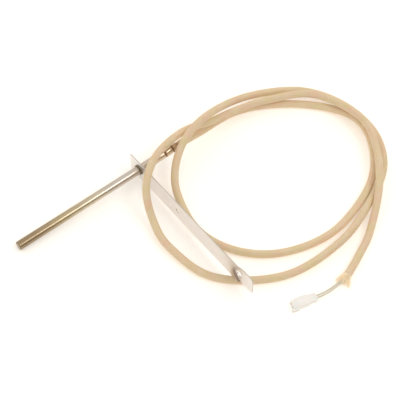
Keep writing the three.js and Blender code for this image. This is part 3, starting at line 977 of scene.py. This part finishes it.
def make_specks():
    """Three tiny flat marks on the strip's face."""
    parts = []
    for y, z in SPECKS:
        profile = [(-0.05 * MM, 0.02 * MM), (0.02 * MM, 0.02 * MM), (0.02 * MM, 0.9 * SPECK_R),
                   (-0.05 * MM, SPECK_R)]
        vertices, faces = turned(profile, 12)
        parts.append(([(vx, vy + y, vz + z) for vx, vy, vz in vertices], faces))
    return new_piece("specks", *joined(parts), speck_dark(), probe_matrix())


def make_collar(name, x0):
    x1 = x0 + COLLAR_T
    profile = [(x0, COLLAR_INNER_R), (x0, COLLAR_R), (x1, COLLAR_R), (x1, COLLAR_INNER_R)]
    vertices, faces = turned(rounded(profile, COLLAR_ROUNDING, 5), 64)
    return new_piece(name, vertices, faces, MATERIALS["collar"], probe_matrix())


# ---------------------------------------------------------------- plug

def boxed(x0, x1, y0, y1, z0, z1):
    corners = [(x, y, z) for x in (x0, x1) for y in (y0, y1) for z in (z0, z1)]
    faces = [(0, 1, 3, 2), (4, 6, 7, 5), (0, 4, 5, 1), (2, 3, 7, 6), (0, 2, 6, 4), (1, 5, 7, 3)]
    return corners, faces


def raised(outline, z0, z1):
    count = len(outline)
    vertices = [(x, y, z) for z in (z0, z1) for x, y in outline]
    faces = [tuple(range(count))[::-1], tuple(range(count, 2 * count))]
    for i in range(count):
        n = (i + 1) % count
        faces.append((i, n, count + n, count + i))
    return vertices, faces


def temporary(name, vertices, faces):
    mesh = bpy.data.meshes.new(name)
    mesh.from_pydata(vertices, [], faces)
    helper = bpy.data.objects.new(name, mesh)
    bpy.context.scene.collection.objects.link(helper)
    return helper


def apply_modifiers(piece):
    """Keeps the result of the piece's modifiers as its mesh."""
    graph = bpy.context.evaluated_depsgraph_get()
    mesh = bpy.data.meshes.new_from_object(piece.evaluated_get(graph))
    piece.modifiers.clear()
    piece.data = mesh


def combine(target, helper, operation):
    """Joins a helper to the target, or cuts it from the target, and deletes the helper."""
    step = target.modifiers.new("combine", "BOOLEAN")
    step.operation = operation
    step.solver = "EXACT"
    step.object = helper
    apply_modifiers(target)
    bpy.data.objects.remove(helper)


def plug_outline():
    nose_x = PLUG_LENGTH - PLUG_NOSE
    shoulder_x = PLUG_NECK + 0.5 * MM
    inset = PLUG_BODY_HALF - PLUG_NOSE_STEP
    return [
        (0, -PLUG_NECK_HALF), (PLUG_NECK, -PLUG_NECK_HALF), (shoulder_x, -PLUG_BODY_HALF),
        (nose_x, -PLUG_BODY_HALF), (nose_x, -inset), (PLUG_LENGTH, -inset),
        (PLUG_LENGTH, PLUG_BODY_HALF), (shoulder_x, PLUG_BODY_HALF), (PLUG_NECK, PLUG_NECK_HALF),
        (0, PLUG_NECK_HALF),
    ]


def make_plug():
    plug = temporary("plug", *raised(plug_outline(), PLUG_LIFT, PLUG_LIFT + PLUG_HEIGHT))
    for row in (0, 1):
        z0 = PLUG_LIFT + RIB_RISE + row * (RIB_WIDTH + RIB_GAP)
        rib = boxed(PLUG_LENGTH - RIB_LENGTH, PLUG_LENGTH + RIB_OVERHANG,
                    PLUG_BODY_HALF - 0.5 * MM, PLUG_BODY_HALF + RIB_REACH, z0, z0 + RIB_WIDTH)
        combine(plug, temporary("rib", *rib), "UNION")
    for hand in (-1, 1):
        y = hand * CAVITY_PITCH / 2
        half = CAVITY_SIDE / 2
        cavity = boxed(ENTRY_LENGTH, PLUG_LENGTH + 1 * MM, y - half, y + half,
                       PLUG_AXIS_Z - half, PLUG_AXIS_Z + half)
        combine(plug, temporary("cavity", *cavity), "DIFFERENCE")
        entry_outline = circle(hand * ENTRY_PITCH / 2, PLUG_AXIS_Z, ENTRY_R, 24)
        entry_vertices, entry_faces = raised(entry_outline, -1 * MM, ENTRY_LENGTH + 0.5 * MM)
        turned_vertices = [(x, y, z) for y, z, x in entry_vertices]
        combine(plug, temporary("entry", turned_vertices, entry_faces), "DIFFERENCE")
    soften(plug, PLUG_ROUNDING, 3)
    plug.data.transform(plug_matrix())
    plug.data.polygons.foreach_set("use_smooth", [True] * len(plug.data.polygons))
    plug.data.materials.clear()
    plug.data.materials.append(plug_nylon())
    return plug


def soften(piece, width, segments):
    """Rounds the piece's sharp edges."""
    bevel = piece.modifiers.new("soften", "BEVEL")
    bevel.width = width
    bevel.segments = segments
    bevel.limit_method = "ANGLE"
    bevel.angle_limit = math.radians(40)
    bevel.harden_normals = True
    apply_modifiers(piece)


# ---------------------------------------------------------------- stage

def make_camera():
    flat = math.cos(CAMERA_ELEVATION)
    forward = Vector((
        flat * math.cos(CAMERA_HEADING), flat * math.sin(CAMERA_HEADING),
        -math.sin(CAMERA_ELEVATION),
    ))
    level = Vector((math.sin(CAMERA_HEADING), -math.cos(CAMERA_HEADING), 0))
    over = level.cross(forward)
    right = math.cos(CAMERA_ROLL) * level + math.sin(CAMERA_ROLL) * over
    up = math.cos(CAMERA_ROLL) * over - math.sin(CAMERA_ROLL) * level
    data = bpy.data.cameras.new("camera")
    data.sensor_width = 36
    data.lens = CAMERA_LENS
    data.clip_start = 0.01
    data.clip_end = 50
    camera = bpy.data.objects.new("camera", data)
    turn = Matrix((right, up, -forward)).transposed().to_4x4()
    camera.matrix_world = Matrix.Translation(Vector(CAMERA_TARGET) - forward * CAMERA_DISTANCE) @ turn
    bpy.context.scene.collection.objects.link(camera)
    bpy.context.scene.camera = camera


def make_floor():
    """A pale matt table, lit a little from below so that the shadows on it stay light."""
    n = Nodes("pale_floor")
    n.set(Base_Color=n.mix(n.noise(2, 2), four((0.90, 0.88, 0.84)), four((0.92, 0.90, 0.86))),
          Roughness=0.95, Specular_IOR_Level=0.1,
          Emission_Color=four((1.0, 0.96, 0.91)), Emission_Strength=0.3)
    vertices = [(x * FLOOR_HALF, y * FLOOR_HALF, 0) for x, y in ((-1, -1), (1, -1), (1, 1), (-1, 1))]
    floor = new_piece("floor", vertices, [(0, 1, 2, 3)], n.material, smooth=False)
    floor.location.z = -0.0001


def sky_ramp(tree, height, stops):
    """Sky colours by height, from 0 at the horizon to 1 overhead, as brightness over SKY_SCALE."""
    ramp = tree.nodes.new("ShaderNodeValToRGB")
    shades = [(place, level / SKY_SCALE) for place, level in stops]
    fill_ramp(ramp, [(place, (shade, shade * 0.98, shade * 0.95)) for place, shade in shades])
    tree.links.new(height, ramp.inputs[0])
    return ramp.outputs[0]


def make_sky():
    """A pale studio all round. Low down it is bright at the back and dim on the camera's side."""
    world = bpy.data.worlds.new("studio")
    world.use_nodes = True
    bpy.context.scene.world = world
    tree = world.node_tree
    coordinates = tree.nodes.new("ShaderNodeTexCoord")
    split = tree.nodes.new("ShaderNodeSeparateXYZ")
    tree.links.new(coordinates.outputs["Generated"], split.inputs[0])
    back = sky_ramp(tree, split.outputs[2], SKY_BACK)
    front = sky_ramp(tree, split.outputs[2], SKY_FRONT)
    side = tree.nodes.new("ShaderNodeMapRange")
    side.interpolation_type = "SMOOTHSTEP"
    side.inputs["From Min"].default_value = SKY_FRONT_FROM
    side.inputs["From Max"].default_value = SKY_FRONT_WHOLE
    tree.links.new(split.outputs[1], side.inputs["Value"])
    mix = tree.nodes.new("ShaderNodeMix")
    mix.data_type = "RGBA"
    tree.links.new(side.outputs[0], mix.inputs[0])
    tree.links.new(back, mix.inputs[6])
    tree.links.new(front, mix.inputs[7])
    path = tree.nodes.new("ShaderNodeLightPath")
    seen = tree.nodes.new("ShaderNodeMix")
    seen.data_type = "RGBA"
    tree.links.new(path.outputs["Is Camera Ray"], seen.inputs[0])
    tree.links.new(mix.outputs[2], seen.inputs[6])
    seen.inputs[7].default_value = SKY_SEEN
    background = tree.nodes["Background"]
    tree.links.new(seen.outputs[2], background.inputs["Color"])
    background.inputs["Strength"].default_value = SKY_SCALE


def make_softbox():
    data = bpy.data.lights.new("softbox", "AREA")
    data.shape = "RECTANGLE"
    data.size, data.size_y = SOFTBOX_SIZE
    data.energy = SOFTBOX_POWER
    data.color = SOFTBOX_COLOUR
    light = bpy.data.objects.new("softbox", data)
    light.location = SOFTBOX_PLACE
    aim = Vector(SOFTBOX_AIM) - Vector(SOFTBOX_PLACE)
    light.rotation_euler = aim.to_track_quat("-Z", "Y").to_euler()
    bpy.context.scene.collection.objects.link(light)


# ---------------------------------------------------------------- the scene

bpy.context.scene.view_settings.view_transform = "Standard"

make_camera()

MATERIALS = {
    "wire": wire_cover(),
    "collar": collar_steel(),
    "ceramic": fired_ceramic(),
    "contact": tinned_contact(),
}

sleeve = make_sleeve()
wires = [make_wire(1, -1), make_wire(2, 1)]
fray = make_fray()
plug = make_plug()

PIECES = [
    (sleeve, "braid", "braided_sleeve"),
    (fray, "braid", "braid_fray"),
    (wires[0][0], "wire", "core_wire_1"),
    (wires[1][0], "wire", "core_wire_2"),
    (plug, "plug", "plug_housing"),
    (make_tube(), "tube", "sheath_tube"),
    (make_tip_disc(), "tube", "tip_plug"),
    (make_strip(), "strip", "mounting_strip"),
    (make_collar("collar_front", COLLAR_CLEAR), "collar", "front_collar"),
    (make_collar("collar_rear", -STRIP_T - COLLAR_T - COLLAR_CLEAR), "collar", "rear_collar"),
]
for piece, slot, node in PIECES:
    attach(piece, "root")
    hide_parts(node)

specks = make_specks()
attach(specks, "root")

CAD_LOOKS = {
    "ceramic": ("tip_cement", "sensing_element", "ceramic_insulator", "crimp_bush", "inner_sleeving"),
    "contact": (
        "splice_barrel_1", "splice_barrel_2", "element_lead_1", "element_lead_2",
        "terminal_1", "terminal_2",
    ),
}
for look, names in CAD_LOOKS.items():
    for name in names:
        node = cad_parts[name]
        node.data.materials.clear()
        node.data.materials.append(MATERIALS[look])

LEAD.place(np.linspace(SLEEVE_START, SLEEVE_END, 400)).tolist()

make_floor()
make_sky()
make_softbox()
